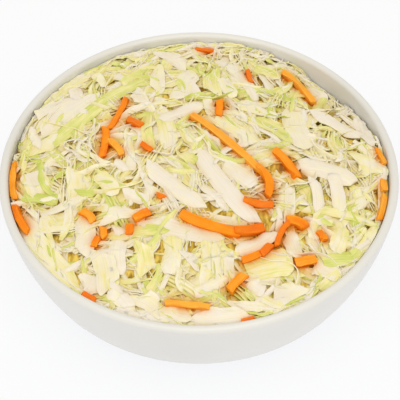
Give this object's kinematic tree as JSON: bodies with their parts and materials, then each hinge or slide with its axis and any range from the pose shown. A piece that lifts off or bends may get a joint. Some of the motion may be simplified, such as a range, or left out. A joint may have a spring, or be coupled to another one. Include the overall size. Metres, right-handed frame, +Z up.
{
  "type": "bowl of coleslaw",
  "caption": "Round white serving bowl heaped with coleslaw of shredded cabbage and carrot sticks, for a table, buffet or kitchen scene.",
  "frame": {"origin": "centre of the foot ring, on the surface the bowl stands on", "axes": "+Z up through the middle of the bowl; the picture's viewer is on the -Y side and +X is to the right"},
  "size_m": [0.2, 0.2, 0.0694],
  "materials": {
    "glaze": "smooth white glaze, glossy",
    "cabbage": null,
    "carrot": null
  },
  "bodies": {
    "root": {"bowl": "glaze", "slaw": "cabbage"}
  },
  "joints": []
}
